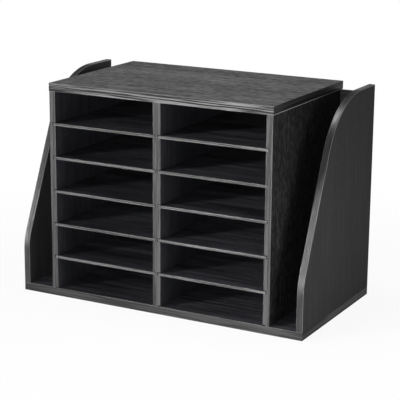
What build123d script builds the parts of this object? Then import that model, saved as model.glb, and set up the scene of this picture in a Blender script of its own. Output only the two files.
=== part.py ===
"""Desktop literature organizer: two columns of sliding shelves between two curved side wings.

Millimetres. X runs to the right, Y to the back, Z up. The origin is on the desk, at the
middle of the base board.
"""

import os
from math import radians, tan

from build123d import *

os.makedirs("parts", exist_ok=True)

# Boards
base_thickness = 16.0
top_thickness = 16.0
centre_thickness = 16.0
side_thickness = 12.7
wing_thickness = 12.7
shelf_thickness = 5.0
back_thickness = 5.0

# Clear spaces: a compartment takes a letter sheet laid flat
column_width = 219.3
row_height = 62.2
row_count = 6
pocket_width = 55.3
depth = 317.0
top_overhang = 1.0

# Glued edge strips, with their outer arrises eased
band = 1.0
edge_break = 0.4

# Wing outline, seen from the side
wing_front_height = 88.5
wing_slope = 23.6
wing_bend_radius = 95.0
wing_flat_top = 70.0
wing_top_drop = 1.5

# Shelves in their grooves
groove_depth = 5.0
groove_play = 0.4
shelf_end_play = 0.5
shelf_rear_play = 0.5

# Back panel, let into grooves in the wings and the base
back_inset = 6.0
back_groove_depth = 5.0
back_foot_depth = 4.0
back_end_play = 0.5
back_face_play = 0.2

# Countersunk screws up through the base into the side uprights and the wings
screw_inset = 50.0
screw_length = 45.0
screw_radius = 2.0
screw_head_radius = 4.5
screw_head_play = 0.3
screw_head_sink = 0.1

# Fittings of the uprights: cams at the head of the side ones, dowels at both ends of the centre one
fitting_inset = 60.0
dowel_radius = 3.0
dowel_length = 24.0
dowel_in_board = 8.0
cam_edge_distance = 24.0
cam_radius = 6.0
cam_depth = 9.5
cam_bolt_offset = 5.5
cam_bolt_radius = 2.5
cam_bolt_in_top = 10.0

# Fitting play: round a pin in its hole, and past its end
hole_play = 0.1
end_play = 0.5

# Places worked out from the sizes above
front = -depth / 2
rear = depth / 2
back_rear = rear - back_inset
back_face = back_rear - back_thickness
upright_height = row_count * row_height + (row_count - 1) * shelf_thickness
upright_top = base_thickness + upright_height
height = upright_top + top_thickness
cabinet_width = 2 * column_width + centre_thickness + 2 * side_thickness
base_width = cabinet_width + 2 * (pocket_width + wing_thickness)
top_width = cabinet_width + 2 * top_overhang
inner_width = base_width - 2 * wing_thickness
wing_top = height - wing_top_drop
groove_height = shelf_thickness + groove_play
row_pitch = row_height + shelf_thickness
shelf_levels = [base_thickness + row_height + i * row_pitch for i in range(row_count - 1)]
left_face = -cabinet_width / 2
right_face = cabinet_width / 2 - side_thickness
uprights = {
    "left_upright": (left_face, side_thickness, (1,), "cams"),
    "centre_upright": (-centre_thickness / 2, centre_thickness, (-1, 1), "dowels"),
    "right_upright": (right_face, side_thickness, (-1,), "cams"),
}
wings = {
    "left_wing": (-base_width / 2, 1),
    "right_wing": (base_width / 2 - wing_thickness, -1),
}
columns = {
    "left": -(centre_thickness + column_width) / 2,
    "right": (centre_thickness + column_width) / 2,
}

# Fixing points in plan
screw_rows = (front + screw_inset, rear - screw_inset)
fitting_rows = (front + fitting_inset, back_face - fitting_inset)
cam_faces = [left_face, right_face]
upright_lines = [face + side_thickness / 2 for face in cam_faces]
wing_lines = [face + wing_thickness / 2 for face, _ in wings.values()]
screw_points = [(x, y) for x in upright_lines + wing_lines for y in screw_rows]
dowel_points = [(0, y) for y in fitting_rows]
cam_bolt_points = [(face + cam_bolt_offset, y) for face in cam_faces for y in fitting_rows]
dowel_reach = dowel_length - dowel_in_board + end_play
dowel_hole_depth = dowel_in_board + end_play
cam_level = upright_top - cam_edge_distance
cam_bolt_foot = cam_level - cam_bolt_radius
cam_throat = cam_bolt_radius + end_play

from_below = (Align.CENTER, Align.CENTER, Align.MIN)
from_front = (Align.CENTER, Align.MIN, Align.MIN)


def save(piece, name):
    piece.part.label = name
    export_step(piece.part, f"parts/{name}.step")
    print(name, f"{piece.part.volume:.0f} mm3")


def at_level(points, level):
    return [(x, y, level) for x, y in points]


def drill(points, level, radius, length):
    with Locations(*at_level(points, level)):
        Cylinder(radius, length, align=from_below, mode=Mode.SUBTRACT)


def drill_for_screws(x):
    pilot_depth = screw_length - base_thickness + end_play
    drill([(x, y) for y in screw_rows], base_thickness, screw_radius + hole_play, pilot_depth)


def cam_places(face):
    return [Location((face, y, cam_level), (0, 90, 0)) for y in fitting_rows]


# Base board: countersunk from below for the screws, drilled above for the dowels and grooved for the back
back_width = inner_width + 2 * (back_groove_depth - back_end_play)
with BuildPart() as base_panel:
    Box(base_width - 2 * band, depth - 2 * band, base_thickness, align=from_below)
    with Locations(*[Location((x, y, 0), (180, 0, 0)) for x, y in screw_points]):
        CounterSinkHole(screw_radius + hole_play, screw_head_radius + screw_head_play)
    dowel_bore = dowel_radius + hole_play
    drill(dowel_points, base_thickness - dowel_hole_depth, dowel_bore, dowel_hole_depth)
    with Locations((0, back_face, base_thickness - back_foot_depth)):
        Box(
            back_width + 2 * back_end_play,
            back_thickness + back_face_play,
            back_foot_depth,
            align=from_front,
            mode=Mode.SUBTRACT,
        )
save(base_panel, "base_panel")

# Top board, drilled from below for the cam bolts and the dowels
with BuildPart() as top_panel:
    with Locations((0, 0, upright_top)):
        Box(top_width - 2 * band, depth - 2 * band, top_thickness, align=from_below)
    drill(cam_bolt_points, upright_top, cam_bolt_radius + hole_play, cam_bolt_in_top + end_play)
    drill(dowel_points, upright_top, dowel_bore, dowel_hole_depth)
save(top_panel, "top_panel")

# Edge strips round the base and the top: front and rear run through, the sides fit between
for board, width, level, thickness in (
    ("base", base_width, 0.0, base_thickness),
    ("top", top_width, upright_top, top_thickness),
):
    for end, strip_y, outermost in (("front", front, 0), ("rear", rear - band, -1)):
        with BuildPart() as long_strip:
            with Locations((0, strip_y, level)):
                Box(width, band, thickness, align=from_front)
            chamfer(long_strip.faces().sort_by(Axis.Y)[outermost].edges(), edge_break)
        save(long_strip, f"{board}_{end}_edging")
    for end, side, outermost in (("left", -1, 0), ("right", 1, -1)):
        with BuildPart() as side_strip:
            with Locations((side * (width - band) / 2, 0, level)):
                Box(band, depth - 2 * band, thickness, align=from_below)
            outer_face = side_strip.faces().sort_by(Axis.X)[outermost]
            chamfer(outer_face.edges().filter_by(Axis.Y), edge_break)
        save(side_strip, f"{board}_{end}_edging")


def cut_grooves(middle, thickness, groove_sides):
    for side in groove_sides:
        groove_middle = middle + side * (thickness - groove_depth) / 2
        with Locations(*[(groove_middle, front, level) for level in shelf_levels]):
            Box(groove_depth, depth, groove_height, align=from_front, mode=Mode.SUBTRACT)


# Uprights: grooved for the shelves and drilled for the screws, cams and dowels
for name, (face, thickness, groove_sides, fitting) in uprights.items():
    middle = face + thickness / 2
    with BuildPart() as upright:
        with Locations((middle, front + band, base_thickness)):
            Box(thickness, back_face - front - band, upright_height, align=from_front)
        cut_grooves(middle, thickness, groove_sides)
        if fitting == "cams":
            drill_for_screws(middle)
            bolt_points = [(face + cam_bolt_offset, y) for y in fitting_rows]
            drill(bolt_points, cam_level, cam_bolt_radius + hole_play, cam_edge_distance)
            with Locations(*cam_places(face)):
                Cylinder(cam_radius + hole_play, cam_depth, align=from_below, mode=Mode.SUBTRACT)
        else:
            for level in (base_thickness, upright_top - dowel_reach):
                drill(dowel_points, level, dowel_bore, dowel_reach)
    save(upright, name)

    with BuildPart() as upright_strip:
        with Locations((middle, front, base_thickness)):
            Box(thickness, band, upright_height, align=from_front)
        front_face = upright_strip.faces().sort_by(Axis.Y)[0]
        chamfer(front_face.edges().filter_by(Axis.Z), edge_break)
        cut_grooves(middle, thickness, groove_sides)
    save(upright_strip, f"{name}_edging")

# Wing outline: upright front, a bend, a straight slope, a round shoulder and a flat top.
# It starts one strip below the base's upper face, so that the core inset from it stands on the base.
slope_rise = wing_top - base_thickness - wing_front_height
slope_top = front + slope_rise * tan(radians(wing_slope))
shoulder_start = rear - wing_flat_top
shoulder_radius = (shoulder_start - slope_top) / tan(radians(90 - wing_slope) / 2)
wing_foot = base_thickness - band
with BuildSketch() as wing_outline:
    with BuildLine():
        FilletPolyline(
            (front, wing_foot),
            (front, base_thickness + wing_front_height),
            (slope_top, wing_top),
            (rear, wing_top),
            radius=(wing_bend_radius, shoulder_radius),
        )
        Polyline((rear, wing_top), (rear, wing_foot), (front, wing_foot))
    make_face()
with BuildSketch() as wing_core:
    add(wing_outline.sketch)
    offset(amount=-band, kind=Kind.INTERSECTION, mode=Mode.REPLACE)

# Wings: a core board with one strip round the front, shoulder and top, and one down the rear
for name, (face, inward) in wings.items():
    middle = face + wing_thickness / 2
    wing_plane = Plane.YZ.offset(face)
    groove_middle = middle + inward * (wing_thickness - back_groove_depth) / 2
    with BuildPart() as wing:
        with BuildSketch(wing_plane):
            add(wing_core.sketch)
        extrude(amount=wing_thickness)
        drill_for_screws(middle)
        with Locations((groove_middle, back_face, base_thickness)):
            Box(
                back_groove_depth,
                back_thickness + back_face_play,
                upright_height + back_end_play,
                align=from_front,
                mode=Mode.SUBTRACT,
            )
    save(wing, name)

    with BuildPart() as wing_skin:
        with BuildSketch(wing_plane):
            add(wing_outline.sketch)
        extrude(amount=wing_thickness)
        flat_faces = [wing_skin.faces().sort_by(Axis.X)[i] for i in (0, -1)]
        arrises = [edge for flat_face in flat_faces for edge in flat_face.edges()]
        chamfer([edge for edge in arrises if edge.center().Z > base_thickness], edge_break)
        with BuildSketch(wing_plane):
            add(wing_core.sketch)
        extrude(amount=wing_thickness, mode=Mode.SUBTRACT)
        with Locations((middle, front, wing_foot)):
            Box(wing_thickness, depth, band, align=from_front, mode=Mode.SUBTRACT)

    rear_strip_place = (middle, rear - band, base_thickness)
    rear_strip_size = (wing_thickness, band, wing_top - band - base_thickness)
    with BuildPart() as wing_strip:
        add(wing_skin.part)
        with Locations(rear_strip_place):
            Box(*rear_strip_size, align=from_front, mode=Mode.SUBTRACT)
    save(wing_strip, f"{name}_edging")
    with BuildPart() as wing_rear_strip:
        add(wing_skin.part)
        with Locations(rear_strip_place):
            Box(*rear_strip_size, align=from_front, mode=Mode.INTERSECT)
    save(wing_rear_strip, f"{name}_rear_edging")

# Back panel: its ends in the wings, its foot in the base, its head under the top board
with BuildPart() as back_panel:
    with Locations((0, back_face, base_thickness - back_foot_depth)):
        Box(back_width, back_thickness, upright_height + back_foot_depth, align=from_front)
save(back_panel, "back_panel")

# Shelves: each slides in a pair of grooves and carries its own front strip
shelf_width = column_width + 2 * (groove_depth - shelf_end_play)
shelf_depth = back_face - shelf_rear_play - front - band
for column, column_middle in columns.items():
    for number, level in enumerate(shelf_levels, start=1):
        with BuildPart() as shelf:
            with Locations((column_middle, front + band, level)):
                Box(shelf_width, shelf_depth, shelf_thickness, align=from_front)
        save(shelf, f"{column}_shelf_{number}")
        with BuildPart() as shelf_strip:
            with Locations((column_middle, front, level)):
                Box(shelf_width, band, shelf_thickness, align=from_front)
            front_face = shelf_strip.faces().sort_by(Axis.Y)[0]
            chamfer(front_face.edges().filter_by(Axis.X), edge_break)
        save(shelf_strip, f"{column}_shelf_{number}_edging")

# Screws up through the base
screw_neck = screw_head_sink + screw_head_radius - screw_radius
with BuildPart() as base_screws:
    with Locations(*at_level(screw_points, screw_head_sink)):
        Cone(screw_head_radius, screw_radius, screw_neck - screw_head_sink, align=from_below)
    with Locations(*at_level(screw_points, screw_neck)):
        Cylinder(screw_radius, screw_length - screw_neck, align=from_below)
save(base_screws, "base_screws")

# Dowels that hold the centre upright to the base and the top
dowel_levels = (base_thickness - dowel_in_board, upright_top + dowel_in_board - dowel_length)
with BuildPart() as dowels:
    for level in dowel_levels:
        with Locations(*at_level(dowel_points, level)):
            Cylinder(dowel_radius, dowel_length, align=from_below)
save(dowels, "dowels")

# Cam bolts, turned into the top board and caught by the cams in the side uprights
with BuildPart() as cam_bolts:
    with Locations(*at_level(cam_bolt_points, cam_bolt_foot)):
        bolt_length = upright_top + cam_bolt_in_top - cam_bolt_foot
        Cylinder(cam_bolt_radius, bolt_length, align=from_below)
save(cam_bolts, "cam_bolts")

# Cams: round housings, each with a throat for its bolt
with BuildPart() as cam_locks:
    for face in cam_faces:
        with Locations(*cam_places(face)):
            Cylinder(cam_radius, cam_depth - hole_play, align=from_below)
    with Locations(*at_level(cam_bolt_points, cam_bolt_foot - end_play)):
        Box(2 * cam_throat, 2 * cam_throat, 2 * cam_radius, align=from_below, mode=Mode.SUBTRACT)
save(cam_locks, "cam_locks")
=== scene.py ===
from math import radians

import bpy
from mathutils import Matrix, Vector


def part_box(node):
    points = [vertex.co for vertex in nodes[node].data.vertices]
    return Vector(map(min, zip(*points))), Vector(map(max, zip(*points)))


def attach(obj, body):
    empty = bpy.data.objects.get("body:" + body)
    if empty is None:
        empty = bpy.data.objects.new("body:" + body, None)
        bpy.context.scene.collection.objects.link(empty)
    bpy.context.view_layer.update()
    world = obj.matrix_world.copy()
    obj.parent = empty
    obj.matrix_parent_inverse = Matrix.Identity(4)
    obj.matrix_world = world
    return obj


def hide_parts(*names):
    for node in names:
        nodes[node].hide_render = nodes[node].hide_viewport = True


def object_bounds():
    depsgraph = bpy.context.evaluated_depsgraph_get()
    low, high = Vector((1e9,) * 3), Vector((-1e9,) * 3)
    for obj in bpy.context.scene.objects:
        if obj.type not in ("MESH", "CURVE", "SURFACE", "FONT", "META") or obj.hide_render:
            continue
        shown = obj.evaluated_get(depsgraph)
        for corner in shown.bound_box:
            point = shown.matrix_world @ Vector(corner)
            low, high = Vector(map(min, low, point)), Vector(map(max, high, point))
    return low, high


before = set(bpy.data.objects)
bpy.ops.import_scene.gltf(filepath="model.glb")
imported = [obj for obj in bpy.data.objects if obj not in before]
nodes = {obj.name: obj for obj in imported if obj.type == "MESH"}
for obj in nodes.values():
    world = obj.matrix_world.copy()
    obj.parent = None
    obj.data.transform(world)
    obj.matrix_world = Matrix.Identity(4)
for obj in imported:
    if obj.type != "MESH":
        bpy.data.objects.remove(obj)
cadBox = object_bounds()
quarterTurn = radians(90)
print("frame loaded:", len(nodes), "CAD nodes")


def middleLine(board):
    # X of the middle of a board that stands on edge
    return sum(corner[0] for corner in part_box(board)) / 2


def grey(level):
    return (level, level, level)


def addNode(tree, kind, **settings):
    node = tree.nodes.new(kind)
    for name, value in settings.items():
        setattr(node, name, value)
    return node


def feed(tree, value, socket):
    # value is another node's socket, a number or an RGB
    if isinstance(value, (int, float)):
        socket.default_value = value
    elif isinstance(value, tuple):
        socket.default_value = (*value, 1.0)
    else:
        tree.links.new(value, socket)


def startFinish(name):
    finish = bpy.data.materials.new(name)
    finish.use_nodes = True
    tree = finish.node_tree
    return finish, tree, tree.nodes["Principled BSDF"], addNode(tree, "ShaderNodeTexCoord").outputs


def stretchedNoise(tree, place, size, detail, distortion=0.0, slant=0.0):
    # size is one fleck in metres, along X, Y and Z, and slant turns the flecks about Y, in degrees
    mapping = addNode(tree, "ShaderNodeMapping", vector_type="TEXTURE")
    mapping.inputs["Scale"].default_value = size
    mapping.inputs["Rotation"].default_value = (0, radians(slant), 0)
    tree.links.new(place, mapping.inputs["Vector"])
    noise = addNode(tree, "ShaderNodeTexNoise")
    noise.inputs["Scale"].default_value = 1.0
    noise.inputs["Detail"].default_value = detail
    noise.inputs["Distortion"].default_value = distortion
    tree.links.new(mapping.outputs["Vector"], noise.inputs["Vector"])
    return noise.outputs["Fac"]


def ranged(tree, value, low, high, newLow=0.0, newHigh=1.0):
    span = addNode(tree, "ShaderNodeMapRange")
    limits = {"From Min": low, "From Max": high, "To Min": newLow, "To Max": newHigh}
    for socket, number in limits.items():
        span.inputs[socket].default_value = number
    tree.links.new(value, span.inputs["Value"])
    return span.outputs["Result"]


def mathStep(tree, operation, *values):
    step = addNode(tree, "ShaderNodeMath", operation=operation)
    for value, socket in zip(values, step.inputs):
        feed(tree, value, socket)
    return step.outputs["Value"]


def weighed(tree, first, second, share):
    # share is the second's part of the whole
    firstPart = mathStep(tree, "MULTIPLY", first, 1 - share)
    secondPart = mathStep(tree, "MULTIPLY", second, share)
    return mathStep(tree, "ADD", firstPart, secondPart)


def blended(tree, factor, first, second):
    # first where factor is 0 and second where it is 1
    mix = addNode(tree, "ShaderNodeMix", data_type="RGBA")
    tree.links.new(factor, mix.inputs["Factor"])
    colourInputs = [socket for socket in mix.inputs if socket.type == "RGBA"]
    for value, socket in zip((first, second), colourInputs):
        feed(tree, value, socket)
    return next(socket for socket in mix.outputs if socket.type == "RGBA")


def splitAxes(tree, vector):
    split = addNode(tree, "ShaderNodeSeparateXYZ")
    tree.links.new(vector, split.inputs["Vector"])
    return split.outputs


def alongAxis(axes, along, across):
    return [along if letter in axes else across for letter in "XYZ"]


def finishSurface(tree, shader, look, colour, rough, height):
    tree.links.new(colour, shader.inputs["Base Color"])
    tree.links.new(rough, shader.inputs["Roughness"])
    shader.inputs["Specular IOR Level"].default_value = look["gloss"]
    bump = addNode(tree, "ShaderNodeBump")
    bump.inputs["Strength"].default_value = look["bump"]
    bump.inputs["Distance"].default_value = look["bumpDepth"]
    tree.links.new(height, bump.inputs["Height"])
    tree.links.new(bump.outputs["Normal"], shader.inputs["Normal"])


def dress(piece, finish):
    piece.data.materials.clear()
    piece.data.materials.append(finish)


# Black wood-grain laminate on the boards' faces: fibres, short pores and broad bands,
# each with its size along the grain and across it
laminate = {
    "dark": (0.022, 0.022, 0.0225),
    "light": (0.060, 0.060, 0.061),
    "fibre": (0.110, 0.0075),
    "fibreNoise": {"detail": 4.0, "distortion": 0.3},
    "pore": (0.012, 0.0036),
    "poreNoise": {"detail": 1.0},
    "poreEdge": (0.46, 0.57),  # noise at which a pore starts and is full
    "poreCut": 0.9,  # how far a pore darkens and dents the face
    "band": (0.700, 0.045),
    "bandNoise": {"detail": 1.0, "distortion": 0.6},
    "bandShare": 0.30,
    "toneEdge": (0.36, 0.64),  # noise at which the face is darkest and lightest
    "roughness": (0.40, 0.58),
    "roughestTone": 1.6,  # tone and pore together, where the face is roughest
    "gloss": 0.032,
    "bump": 0.5,
    "bumpDepth": 0.0007,
}
wingFace = {
    **laminate, "dark": (0.038, 0.038, 0.0385), "light": (0.053, 0.053, 0.054),
    "pore": (0.018, 0.0017), "poreEdge": (0.54, 0.66), "poreCut": 0.4, "gloss": 0.010,
}
# painted shade: a bluish copy of the laminate, tinted like the shade inside the compartments, for the
# faces that look into them
shadeTintedFace = {
    **wingFace, "dark": (0.034, 0.0343, 0.040), "light": (0.055, 0.0556, 0.0645), "gloss": 0.058,
}
backFace = {**shadeTintedFace, "dark": grey(0.034), "light": grey(0.060)}
# painted shade: the shelves and the base take the same blue shade tint
shadeTintedShelfFace = {
    **shadeTintedFace, "dark": (0.017, 0.0172, 0.0198), "light": (0.066, 0.067, 0.077),
    "fibre": (0.170, 0.0085), "toneEdge": (0.40, 0.60),
}
# painted sheen: the top board is paler than the other boards of the same laminate, for the light falling
# on it from above; its grain is its own
sheenedTopFace = {
    **laminate, "dark": grey(0.038), "light": grey(0.172), "fibre": (0.070, 0.0062),
    "pore": (0.016, 0.0038), "poreEdge": (0.50, 0.62), "poreCut": 0.45, "gloss": 0.058, "bump": 0.8,
}


def laminateGrain(tree, place, grain, look):
    # grain is the axis that the fibres run along
    fibre = stretchedNoise(tree, place, alongAxis(grain, *look["fibre"]), **look["fibreNoise"])
    band = stretchedNoise(tree, place, alongAxis(grain, *look["band"]), **look["bandNoise"])
    pore = stretchedNoise(tree, place, alongAxis(grain, *look["pore"]), **look["poreNoise"])
    pore = ranged(tree, pore, *look["poreEdge"])
    poreDepth = mathStep(tree, "MULTIPLY", pore, look["poreCut"])
    tone = ranged(tree, weighed(tree, fibre, band, look["bandShare"]), *look["toneEdge"])
    colour = blended(tree, mathStep(tree, "SUBTRACT", tone, poreDepth), look["dark"], look["light"])
    roughTone = mathStep(tree, "ADD", tone, pore)
    rough = ranged(tree, roughTone, 0.0, look["roughestTone"], *look["roughness"])
    height = mathStep(tree, "SUBTRACT", fibre, poreDepth)
    return colour, rough, height


def makeLaminate(name, grain, look, shadeTintedLook=None, middle=0.0):
    # the optional second finish is painted shade, a shade-tinted copy for the side of a board that faces
    # in, up to the board's middle
    finish, tree, shader, space = startFinish(name)
    surface = laminateGrain(tree, space["Object"], grain, look)
    if shadeTintedLook:
        sideways = mathStep(tree, "ABSOLUTE", splitAxes(tree, space["Object"])["X"])
        facesIn = mathStep(tree, "LESS_THAN", sideways, middle)
        shadeTintedSurface = laminateGrain(tree, space["Object"], grain, shadeTintedLook)
        surface = [blended(tree, facesIn, outer, inner) for outer, inner in zip(surface, shadeTintedSurface)]
    finishSurface(tree, shader, look, *surface)
    return finish


# each board's finish by the end of its node's name, the first that fits
boardFinishes = {
    "wing": makeLaminate("wingLaminate", "Z", wingFace),
    # painted shade: the centre upright is shade-tinted all over, the side uprights on their inner halves
    "centre_upright": makeLaminate("centreShadeTintedLaminate", "Z", shadeTintedFace),
    "upright": makeLaminate("sideLaminateShadeTintedInside", "Z", laminate, shadeTintedFace, middleLine("right_upright")),
    "top_panel": makeLaminate("topLaminateWithSheen", "X", sheenedTopFace),
    "back_panel": makeLaminate("backLaminate", "X", backFace),
    "": makeLaminate("shelfShadeTintedLaminate", "X", shadeTintedShelfFace),
}
print("laminate made")

# Charcoal edge strips: streaks and finer hairs along their length, smoother where they are pale.
# The front strips are paler than the wing and end strips of the same banding, partly a painted sheen,
# and the arrises carry painted light
edgeStrip = {
    "dark": grey(0.034),
    "light": grey(0.140),
    # painted highlight on the arrises, where the bevels catch the light
    "arris": grey(0.22),
    "streak": (0.300, 0.0042),
    "streakNoise": {"detail": 1.0, "distortion": 0.2, "slant": 0.5},
    "hair": (0.120, 0.0027),
    "hairNoise": {"detail": 1.0, "slant": 0.5},
    "hairShare": 0.5,
    "toneEdge": (0.45, 0.55),
    "roughness": (0.44, 0.26),
    "gloss": 0.20,
    "bump": 0.9,
    "bumpDepth": 0.0004,
    "arrisTilt": 0.707,  # how far an arris leans across the strip, as a share of its normal
    "arrisSpread": 0.2,
}
fineStrip = {**edgeStrip, "streak": (0.300, 0.0036), "hair": (0.120, 0.0022), "hairShare": 0.65}
topStrip = {
    **fineStrip, "dark": grey(0.006), "light": grey(0.172), "toneEdge": (0.46, 0.54), "gloss": 0.16,
}
wingStrip = {
    **fineStrip, "dark": grey(0.002), "light": grey(0.034), "gloss": 0.54, "bumpDepth": 0.0006,
}
shelfStrip = {**edgeStrip, "dark": grey(0.044), "light": grey(0.128), "bump": 0.3}
baseStrip = {**edgeStrip, "dark": grey(0.022), "light": grey(0.064)}
# the end strips' arrises carry painted shade, dark lines where they meet the wings and the floor
endStrip = {
    **edgeStrip, "dark": grey(0.008), "light": grey(0.046), "arris": grey(0.005), "gloss": 0.05,
}
topEndStrip = {
    **endStrip,
    "scraped": grey(0.44),  # painted highlight, a pale line along the foot of the strip
    "scrapedFoot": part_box("top_right_edging")[0][2],
    "scrapedHeight": 0.0013,
}
shelfLow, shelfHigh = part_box("right_shelf_1")
uprightStrip = {
    **edgeStrip, "dark": grey(0.033), "light": grey(0.088), "hairShare": 0.65,
    "cut": grey(0.003),  # painted shade in each groove, a dark line at each shelf's end
    "cutHeight": 0.0070,
    "cutReach": 0.0015,
    "cutLevel": shelfLow[2],
    "cutPitch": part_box("right_shelf_2")[0][2] - shelfLow[2],
    "cutEnds": (shelfLow[0], shelfHigh[0]),
}


def nearFoot(tree, place, look):
    edge = look["scrapedFoot"] + look["scrapedHeight"]
    return mathStep(tree, "LESS_THAN", splitAxes(tree, place)["Z"], edge)


def nearGroove(tree, place, look):
    axes = splitAxes(tree, place)
    sideways = mathStep(tree, "ABSOLUTE", axes["X"])
    aboveFirst = mathStep(tree, "SUBTRACT", axes["Z"], look["cutLevel"])
    aboveShelf = mathStep(tree, "FLOORED_MODULO", aboveFirst, look["cutPitch"])
    near, far = look["cutEnds"]
    inHeight = mathStep(tree, "LESS_THAN", aboveShelf, look["cutHeight"])
    pastNear = mathStep(tree, "GREATER_THAN", sideways, near - look["cutReach"])
    beforeFar = mathStep(tree, "LESS_THAN", sideways, far + look["cutReach"])
    return mathStep(tree, "MULTIPLY", mathStep(tree, "MULTIPLY", inHeight, pastNear), beforeFar)


def makeEdgeStrip(name, width, look):
    # width is the axis across the strip
    finish, tree, shader, space = startFinish(name)
    place = space["Object"]
    lengthAxes = "XYZ".replace(width, "")
    streak = stretchedNoise(tree, place, alongAxis(lengthAxes, *look["streak"]), **look["streakNoise"])
    hair = stretchedNoise(tree, place, alongAxis(lengthAxes, *look["hair"]), **look["hairNoise"])
    tone = weighed(tree, streak, hair, look["hairShare"])
    colour = blended(tree, ranged(tree, tone, *look["toneEdge"]), look["dark"], look["light"])
    tilt = mathStep(tree, "ABSOLUTE", splitAxes(tree, space["Normal"])[width])
    # painted light on the arrises: a highlight on most strips, shade on the end strips
    arris = mathStep(tree, "COMPARE", tilt, look["arrisTilt"], look["arrisSpread"])
    colour = blended(tree, arris, colour, look["arris"])
    # painted highlight along the foot of the strip
    if "scraped" in look:
        colour = blended(tree, nearFoot(tree, place, look), colour, look["scraped"])
    # painted shade in the grooves at the shelves' ends
    if "cut" in look:
        colour = blended(tree, nearGroove(tree, place, look), colour, look["cut"])
    rough = ranged(tree, tone, *look["toneEdge"], *look["roughness"])
    finishSurface(tree, shader, look, colour, rough, tone)
    return finish


# each strip's finish by a part of its node's name, the first that fits
stripFinishes = {
    "wing_rear_edging": makeEdgeStrip("wingEndStrip", "X", endStrip),
    "wing_edging": makeEdgeStrip("wingStrip", "X", wingStrip),
    "upright_edging": makeEdgeStrip("uprightStrip", "X", uprightStrip),
    "top_front_edging": makeEdgeStrip("topStrip", "Z", topStrip),
    "base_front_edging": makeEdgeStrip("baseStrip", "Z", baseStrip),
    "top": makeEdgeStrip("topEndStrip", "Z", topEndStrip),
    "base": makeEdgeStrip("baseEndStrip", "Z", endStrip),
    "shelf": makeEdgeStrip("shelfStrip", "Z", shelfStrip),
}
print("edge strips made")

for name, node in nodes.items():
    if name.endswith("edging"):
        dress(node, next(finish for key, finish in stripFinishes.items() if key in name))
    else:
        dress(node, next(finish for key, finish in boardFinishes.items() if name.endswith(key)))
print("nodes dressed")

# Fasteners: each is turned about the Z axis once, then copied to its places.
# Cams, their bolts and the dowels stand in two rows, inset from the front and from the back panel
fittings = {
    "inset": 0.060,
    "camDrop": 0.024,  # from the uprights' heads down to the cams' middles
    "camBoards": ("left_upright", "right_upright"),
}
fittingRows = (cadBox[0][1] + fittings["inset"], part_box("back_panel")[0][1] - fittings["inset"])
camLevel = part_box("right_upright")[1][2] - fittings["camDrop"]
upward = Vector((0, 0, 1))
squareOn = 0.9  # a face counts as facing a direction when more of its normal than this lies along it
crispAngle = 35  # an edge that turns by more degrees than this stays crisp


def selectOnly(piece):
    bpy.ops.object.select_all(action="DESELECT")
    piece.select_set(True)
    bpy.context.view_layer.objects.active = piece


def pickFaces(piece, direction):
    bpy.ops.object.mode_set(mode="EDIT")
    bpy.ops.mesh.select_mode(type="FACE")
    bpy.ops.mesh.select_all(action="DESELECT")
    bpy.ops.object.mode_set(mode="OBJECT")
    for face in piece.data.polygons:
        face.select = face.normal.dot(direction) > squareOn
    bpy.ops.object.mode_set(mode="EDIT")


def turnRod(name, rings, sides=32):
    # rings are radius and height pairs, from the lower end up
    bpy.ops.object.select_all(action="DESELECT")
    bpy.ops.mesh.primitive_circle_add(vertices=sides, radius=rings[0][0], fill_type="NGON")
    rod = bpy.context.object
    rod.name = rod.data.name = name
    bpy.ops.object.mode_set(mode="EDIT")
    bpy.ops.mesh.select_all(action="SELECT")
    bpy.ops.transform.translate(value=(0, 0, rings[0][1]))
    for (radius, level), (nextRadius, nextLevel) in zip(rings, rings[1:]):
        bpy.ops.mesh.extrude_region_move(TRANSFORM_OT_translate={"value": (0, 0, nextLevel - level)})
        share = nextRadius / radius
        bpy.ops.transform.resize(value=(share, share, 1), center_override=(0, 0, nextLevel))
    bpy.ops.mesh.select_all(action="SELECT")
    bpy.ops.mesh.normals_make_consistent(inside=False)
    bpy.ops.object.mode_set(mode="OBJECT")
    return rod


def windThread(crest, core, foot, pitch, turns, steps=12, ridgeSides=3):
    # a three-sided ridge swept round the rod
    bpy.ops.object.select_all(action="DESELECT")
    bpy.ops.mesh.primitive_circle_add(
        vertices=ridgeSides, radius=crest - core, rotation=(quarterTurn, 0, 0),
    )
    ridge = bpy.context.object
    bpy.ops.object.transform_apply(rotation=True)
    bpy.ops.object.mode_set(mode="EDIT")
    bpy.ops.mesh.select_all(action="SELECT")
    bpy.ops.transform.rotate(value=quarterTurn, orient_axis="Y", center_override=(0, 0, 0))
    ridge.update_from_editmode()
    reach = max(vertex.co.x for vertex in ridge.data.vertices)
    bpy.ops.transform.translate(value=(crest - reach, 0, foot))
    bpy.ops.object.mode_set(mode="OBJECT")
    sweep = ridge.modifiers.new("sweep", "SCREW")
    sweep.screw_offset = pitch
    sweep.iterations = turns
    sweep.steps = sweep.render_steps = steps
    bpy.ops.object.modifier_apply(modifier="sweep")
    bpy.ops.object.mode_set(mode="EDIT")
    bpy.ops.mesh.select_all(action="SELECT")
    bpy.ops.mesh.fill_holes(sides=ridgeSides)
    bpy.ops.mesh.select_all(action="SELECT")
    bpy.ops.mesh.normals_make_consistent(inside=False)
    bpy.ops.object.mode_set(mode="OBJECT")
    return ridge


def makeBar(size, middle, taper=1.0):
    # a cutting bar, narrowed at its upper end
    bpy.ops.object.select_all(action="DESELECT")
    bpy.ops.mesh.primitive_cube_add(size=1)
    bar = bpy.context.object
    bpy.ops.object.mode_set(mode="EDIT")
    bpy.ops.mesh.select_all(action="SELECT")
    bpy.ops.transform.resize(value=size, center_override=(0, 0, 0))
    bpy.ops.transform.translate(value=middle)
    pickFaces(bar, upward)
    bpy.ops.transform.resize(value=(taper, taper, 1), center_override=middle)
    bpy.ops.object.mode_set(mode="OBJECT")
    return bar


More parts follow.
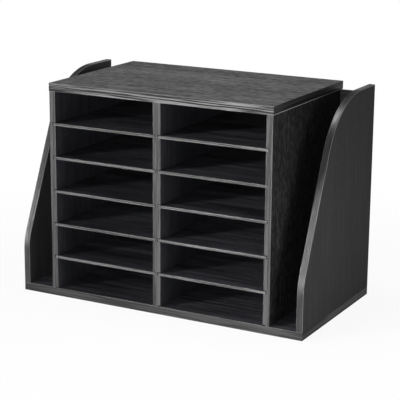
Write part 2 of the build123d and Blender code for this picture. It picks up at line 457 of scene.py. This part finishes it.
def cutAway(piece, bar):
    selectOnly(piece)
    cut = piece.modifiers.new("cut", "BOOLEAN")
    cut.operation = "DIFFERENCE"
    cut.object = bar
    bpy.ops.object.modifier_apply(modifier="cut")


def cutCross(piece, size, middle, taper):
    bar = makeBar(size, middle, taper)
    cutAway(piece, bar)
    selectOnly(bar)
    bpy.ops.object.mode_set(mode="EDIT")
    bpy.ops.mesh.select_all(action="SELECT")
    bpy.ops.transform.rotate(value=quarterTurn, orient_axis="Z", center_override=(0, 0, 0))
    bpy.ops.object.mode_set(mode="OBJECT")
    cutAway(piece, bar)
    bpy.data.objects.remove(bar)


def joinPieces(piece, *others):
    selectOnly(piece)
    for other in others:
        other.select_set(True)
    bpy.ops.object.join()


def fitCopies(pattern, places, finish, node, turn=(0, 0, 0)):
    # a copy with a mesh of its own at each place, standing for the CAD node
    selectOnly(pattern)
    bpy.ops.object.shade_smooth_by_angle(angle=radians(crispAngle))
    dress(pattern, finish)
    for number, place in enumerate(places, 1):
        selectOnly(pattern)
        bpy.ops.object.duplicate(linked=False)
        copy = bpy.context.object
        copy.name = copy.data.name = f"{pattern.name}{number}"
        copy.rotation_euler = turn
        copy.location = place
        bpy.ops.object.transform_apply(location=True, rotation=True, scale=True)
        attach(copy, "cabinet")
        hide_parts(node)
    bpy.data.objects.remove(pattern)


# Zinc-plated screws up through the base, with a cross recess in a countersunk head
baseScrew = {
    "boards": ("left_wing", "left_upright", "right_upright", "right_wing"),
    "inset": 0.050,  # from the front and from the rear
    "rings": [
        (0.0044, 0.0001), (0.0044, 0.0003), (0.0020, 0.0026), (0.0018, 0.0032), (0.0018, 0.0130),
        (0.00135, 0.0138), (0.00135, 0.0405), (0.0002, 0.0449),
    ],
    "thread": {"crest": 0.0020, "core": 0.0013, "foot": 0.0142, "pitch": 0.0018, "turns": 14},
    "recess": {"size": (0.0046, 0.0010, 0.0034), "middle": (0, 0, 0), "taper": 0.55},
}


def makeBaseScrews(sizes, finish):
    screw = turnRod("baseScrew", sizes["rings"])
    cutCross(screw, **sizes["recess"])
    joinPieces(screw, windThread(**sizes["thread"]))
    rows = (cadBox[0][1] + sizes["inset"], cadBox[1][1] - sizes["inset"])
    places = [(middleLine(board), y, 0) for board in sizes["boards"] for y in rows]
    fitCopies(screw, places, finish, "base_screws")


# Bolts in the top board: thread above, collar, neck, and the head that the cam draws down
camBolt = {
    "faceOffset": 0.0055,  # from the upright's left face
    "footDrop": 0.0025,  # below the cam's middle
    "rings": [
        (0.0019, 0.0), (0.0024, 0.0004), (0.0024, 0.0026), (0.0016, 0.0034), (0.0016, 0.0231),
        (0.0024, 0.0236), (0.0024, 0.0261), (0.0018, 0.0265), (0.0018, 0.0357), (0.0012, 0.0364),
    ],
    "thread": {"crest": 0.0025, "core": 0.0017, "foot": 0.0275, "pitch": 0.0016, "turns": 5},
}


def makeCamBolts(sizes, finish):
    bolt = turnRod("camBolt", sizes["rings"])
    joinPieces(bolt, windThread(**sizes["thread"]))
    lines = [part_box(board)[0][0] + sizes["faceOffset"] for board in fittings["camBoards"]]
    places = [(x, y, camLevel - sizes["footDrop"]) for x in lines for y in fittingRows]
    fitCopies(bolt, places, finish, "cam_bolts")


# Die-cast cams let into the side uprights: dished face, cross slot, throat for the bolt
cam = {
    "sides": 48,
    "rings": [(0.0055, 0.0), (0.0060, 0.0005), (0.0060, 0.0089), (0.0056, 0.0094)],
    "dish": {"rim": 0.0010, "depth": 0.0004},
    "slot": {"size": (0.0076, 0.0014, 0.0044), "middle": (0, 0, 0), "taper": 0.8},
    "throat": {"size": (0.0090, 0.0056, 0.0056), "middle": (-0.0017, 0, 0.0055)},
}


def makeCams(sizes, finish):
    lock = turnRod("cam", sizes["rings"], sizes["sides"])
    selectOnly(lock)
    pickFaces(lock, -upward)
    bpy.ops.mesh.inset(thickness=sizes["dish"]["rim"])
    bpy.ops.transform.translate(value=(0, 0, sizes["dish"]["depth"]))
    bpy.ops.object.mode_set(mode="OBJECT")
    cutCross(lock, **sizes["slot"])
    bar = makeBar(**sizes["throat"])
    cutAway(lock, bar)
    bpy.data.objects.remove(bar)
    faces = [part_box(board)[0][0] for board in fittings["camBoards"]]
    places = [(x, y, camLevel) for x in faces for y in fittingRows]
    fitCopies(lock, places, finish, "cam_locks", turn=(0, quarterTurn, 0))


# Fluted beech dowels with chamfered ends, at the foot and the head of the centre upright
dowel = {
    "radius": 0.0030,
    "length": 0.024,
    "inBoard": 0.008,  # the stretch in the base or the top
    "chamferLength": 0.0010,
    "chamferDepth": 0.0006,
    "flutes": 16,
    "fluteLines": 3,  # lines of vertices to a flute, the first of them goes in
    "fluteShare": 0.93,
}


def makeDowels(sizes, finish):
    radius, length, chamfer = sizes["radius"], sizes["length"], sizes["chamferLength"]
    narrow = radius - sizes["chamferDepth"]
    rings = [(narrow, 0), (radius, chamfer), (radius, length - chamfer), (narrow, length)]
    pin = turnRod("dowel", rings, sizes["fluteLines"] * sizes["flutes"])
    bpy.ops.object.mode_set(mode="EDIT")
    bpy.ops.mesh.select_mode(type="VERT")
    bpy.ops.mesh.select_all(action="DESELECT")
    bpy.ops.object.mode_set(mode="OBJECT")
    for vertex in pin.data.vertices:
        vertex.select = vertex.index % sizes["fluteLines"] == 0
    bpy.ops.object.mode_set(mode="EDIT")
    bpy.ops.transform.resize(
        value=(sizes["fluteShare"], sizes["fluteShare"], 1), center_override=(0, 0, 0),
    )
    bpy.ops.object.mode_set(mode="OBJECT")
    low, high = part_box("centre_upright")
    levels = (low[2] - sizes["inBoard"], high[2] + sizes["inBoard"] - length)
    places = [(middleLine("centre_upright"), y, z) for y in fittingRows for z in levels]
    fitCopies(pin, places, finish, "dowels")


# Plated steel, cast zinc and raw beech
steelFinish = {
    "dark": (0.36, 0.37, 0.39),
    "light": (0.56, 0.56, 0.55),
    "cloud": 0.0011,
    "cloudNoise": {"detail": 4.0},
    "cloudEdge": (0.3, 0.7),
    "roughness": (0.22, 0.40),
    "metallic": 1.0,
    "gloss": 0.5,
    "bump": 0.2,
    "bumpDepth": 0.00005,
}
zincFinish = {
    **steelFinish, "dark": (0.25, 0.25, 0.26), "light": (0.46, 0.46, 0.47),
    "cloud": 0.0007, "roughness": (0.42, 0.62),
}
beechFinish = {
    "dark": (0.46, 0.31, 0.18),
    "light": (0.66, 0.50, 0.33),
    "fibre": (0.009, 0.0005),
    "fibreNoise": {"detail": 3.0},
    "fibreEdge": (0.3, 0.7),
    "roughness": (0.62, 0.78),
    "gloss": 0.5,
    "bump": 0.3,
    "bumpDepth": 0.0001,
}


def makeMetal(name, look):
    finish, tree, shader, space = startFinish(name)
    size = [look["cloud"] for axis in "XYZ"]
    cloud = stretchedNoise(tree, space["Object"], size, **look["cloudNoise"])
    colour = blended(tree, cloud, look["dark"], look["light"])
    rough = ranged(tree, cloud, *look["cloudEdge"], *look["roughness"])
    shader.inputs["Metallic"].default_value = look["metallic"]
    finishSurface(tree, shader, look, colour, rough, cloud)
    return finish


def makeBeech(name, look):
    finish, tree, shader, space = startFinish(name)
    size = alongAxis("Z", *look["fibre"])
    fibre = stretchedNoise(tree, space["Object"], size, **look["fibreNoise"])
    tone = ranged(tree, fibre, *look["fibreEdge"])
    colour = blended(tree, tone, look["dark"], look["light"])
    rough = ranged(tree, fibre, *look["fibreEdge"], *look["roughness"])
    finishSurface(tree, shader, look, colour, rough, fibre)
    return finish


platedSteel = makeMetal("platedSteel", steelFinish)
makeBaseScrews(baseScrew, platedSteel)
makeCamBolts(camBolt, platedSteel)
makeCams(cam, makeMetal("castZinc", zincFinish))
makeDowels(dowel, makeBeech("rawBeech", beechFinish))
print("fasteners made")

# White studio: a wide pale floor that keeps the part's soft shadow, and a far wall all round it
studio = {
    "colour": grey(0.9),
    "roughness": 0.9,
    "radius": 16.0,
    "sides": 64,
    "wallHeight": 3.5,
    "shadowShare": 0.08,
    "shadowFade": (0.35, 1.0),
    "ambient": 0.09,
}


def makeStudioFinish(name, settings, shadowShare):
    # lit as pale paint, but plain white to the camera and in reflections,
    # less the share that shows shadow near the part
    finish, tree, shader, space = startFinish(name)
    feed(tree, settings["colour"], shader.inputs["Base Color"])
    feed(tree, settings["roughness"], shader.inputs["Roughness"])
    feed(tree, 0.0, shader.inputs["Specular IOR Level"])
    white = addNode(tree, "ShaderNodeEmission")
    path = addNode(tree, "ShaderNodeLightPath").outputs
    seen = mathStep(tree, "MAXIMUM", path["Is Camera Ray"], path["Is Glossy Ray"])
    seen = mathStep(tree, "MAXIMUM", seen, path["Is Transmission Ray"])
    distance = addNode(tree, "ShaderNodeVectorMath", operation="LENGTH")
    tree.links.new(space["Object"], distance.inputs["Vector"])
    whiteShare = ranged(tree, distance.outputs["Value"], *settings["shadowFade"], 1 - shadowShare, 1.0)
    mix = addNode(tree, "ShaderNodeMixShader")
    tree.links.new(mathStep(tree, "MULTIPLY", seen, whiteShare), mix.inputs["Fac"])
    tree.links.new(shader.outputs["BSDF"], mix.inputs[1])
    tree.links.new(white.outputs["Emission"], mix.inputs[2])
    tree.links.new(mix.outputs["Shader"], tree.nodes["Material Output"].inputs["Surface"])
    return finish


def makeStudio(settings):
    sides, radius, height = settings["sides"], settings["radius"], settings["wallHeight"]
    bpy.ops.object.select_all(action="DESELECT")
    bpy.ops.mesh.primitive_circle_add(vertices=sides, radius=radius, fill_type="NGON")
    floor = bpy.context.object
    floor.name = floor.data.name = "studioFloor"
    dress(floor, makeStudioFinish("paleFloor", settings, settings["shadowShare"]))
    bpy.ops.mesh.primitive_cylinder_add(
        vertices=sides, radius=radius, depth=height, end_fill_type="NOTHING", location=(0, 0, height / 2),
    )
    wall = bpy.context.object
    wall.name = wall.data.name = "studioWall"
    bpy.ops.object.mode_set(mode="EDIT")
    bpy.ops.mesh.select_all(action="SELECT")
    bpy.ops.mesh.flip_normals()
    bpy.ops.object.mode_set(mode="OBJECT")
    dress(wall, makeStudioFinish("paleWall", settings, 0.0))
    world = bpy.data.worlds.new("studioAir")
    bpy.context.scene.world = world
    world.use_nodes = True
    air = world.node_tree.nodes["Background"]
    air.inputs["Color"].default_value = (1.0, 1.0, 1.0, 1.0)
    air.inputs["Strength"].default_value = settings["ambient"]


makeStudio(studio)
print("studio built")

# Soft lamps: two sheets at the front left, a wide fill in front, a small one at the right,
# one above and one behind
lamps = {
    "frontLeft": {
        "place": (-1.95, -2.76, 0.52), "aim": (0.54, -0.15, 0.25),
        "size": (0.55, 1.0), "power": 2.6, "spread": 30,
    },
    "frontLeftHigh": {
        "place": (-1.90, -2.70, 1.15), "aim": (0.54, -0.15, 0.25),
        "size": (0.50, 0.5), "power": 3.3, "spread": 30,
    },
    "front": {
        "place": (0.35, -3.00, 0.74), "aim": (0.0, -0.05, 0.22),
        "size": (2.00, 0.5), "power": 46.0, "spread": 180,
    },
    "right": {
        "place": (0.90, -0.28, 0.38), "aim": (0.28, -0.14, 0.17),
        "size": (0.35, 0.35), "power": 0.24, "spread": 60,
    },
    "above": {
        "place": (-0.35, 0.00, 1.95), "aim": (0.0, 0.0, 0.43),
        "size": (0.60, 1.0), "power": 17.0, "spread": 180,
    },
    "rear": {
        "place": (0.00, 2.40, 0.32), "aim": (0.0, 0.16, 0.22),
        "size": (0.80, 0.2), "power": 17.0, "spread": 180,
    },
}


def hangLamp(name, settings):
    bpy.ops.object.light_add(type="AREA", location=settings["place"])
    lamp = bpy.context.object
    lamp.name = name
    lamp.data.shape = "RECTANGLE"
    lamp.data.size, lamp.data.size_y = settings["size"]
    lamp.data.energy = settings["power"]
    lamp.data.spread = radians(settings["spread"])
    lamp.visible_camera = False
    lamp.rotation_euler = (Vector(settings["aim"]) - lamp.location).to_track_quat("-Z", "Y").to_euler()


for name, settings in lamps.items():
    hangLamp(name, settings)
print("lamps hung")

# Camera where the photograph was taken from
viewpoint = {
    "place": (1.298, -2.398, 0.9016),
    "azimuth": 28.275,
    "elevation": 14.589,
    "roll": 0.45,
    "lens": 127.27,
    "sensor": 36.0,
    "clip": (0.05, 60.0),
}


def placeCamera(settings):
    bpy.ops.object.camera_add(location=settings["place"])
    camera = bpy.context.object
    camera.name = "frontRightCamera"
    turn = Matrix.Rotation(radians(settings["azimuth"]), 4, "Z")
    turn = turn @ Matrix.Rotation(quarterTurn - radians(settings["elevation"]), 4, "X")
    turn = turn @ Matrix.Rotation(radians(settings["roll"]), 4, "Z")
    camera.rotation_euler = turn.to_euler()
    camera.data.lens = settings["lens"]
    camera.data.sensor_width = settings["sensor"]
    camera.data.clip_start, camera.data.clip_end = settings["clip"]
    bpy.context.scene.camera = camera


placeCamera(viewpoint)
bpy.context.scene.view_settings.view_transform = "Standard"
print("camera placed")
